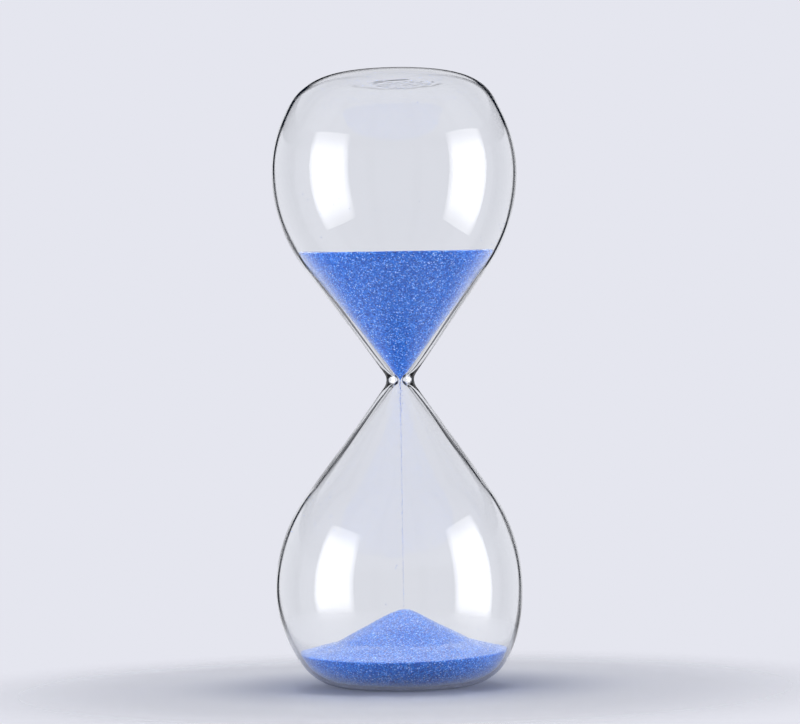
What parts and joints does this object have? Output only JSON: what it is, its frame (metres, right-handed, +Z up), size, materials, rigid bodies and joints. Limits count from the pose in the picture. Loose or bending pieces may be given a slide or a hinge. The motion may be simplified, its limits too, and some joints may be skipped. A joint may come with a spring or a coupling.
{
  "type": "hourglass",
  "caption": "Frameless blown-glass sand timer: teardrop bulbs joined at a narrow throat, with blue sand running from the upper bulb to a pile in the lower one.",
  "frame": {"origin": "centre of the ring that the timer stands on, on the table", "axes": "+Z up the timer's axis through the orifice; X and Y lie in the table's plane, and the timer is round about Z"},
  "size_m": [0.0806, 0.0806, 0.2],
  "materials": {
    "clear_glass": "clear blown borosilicate glass",
    "blue_sand": "dyed blue quartz sand, sparkling"
  },
  "bodies": {
    "glass": {"upper_bulb": "clear_glass", "lower_bulb": "clear_glass", "neck_throat": "clear_glass", "filling_seal": "clear_glass", "upper_sand": "blue_sand", "sand_pile": "blue_sand", "sand_stream": "blue_sand", "clinging_grains": "blue_sand"},
    "grains": {"falling_grains": "blue_sand"}
  },
  "joints": [
    {"name": "grain_fall", "type": "slide", "parent": "glass", "child": "grains", "axis": [0, 0, -1], "range_m": [0, 0.064]}
  ]
}
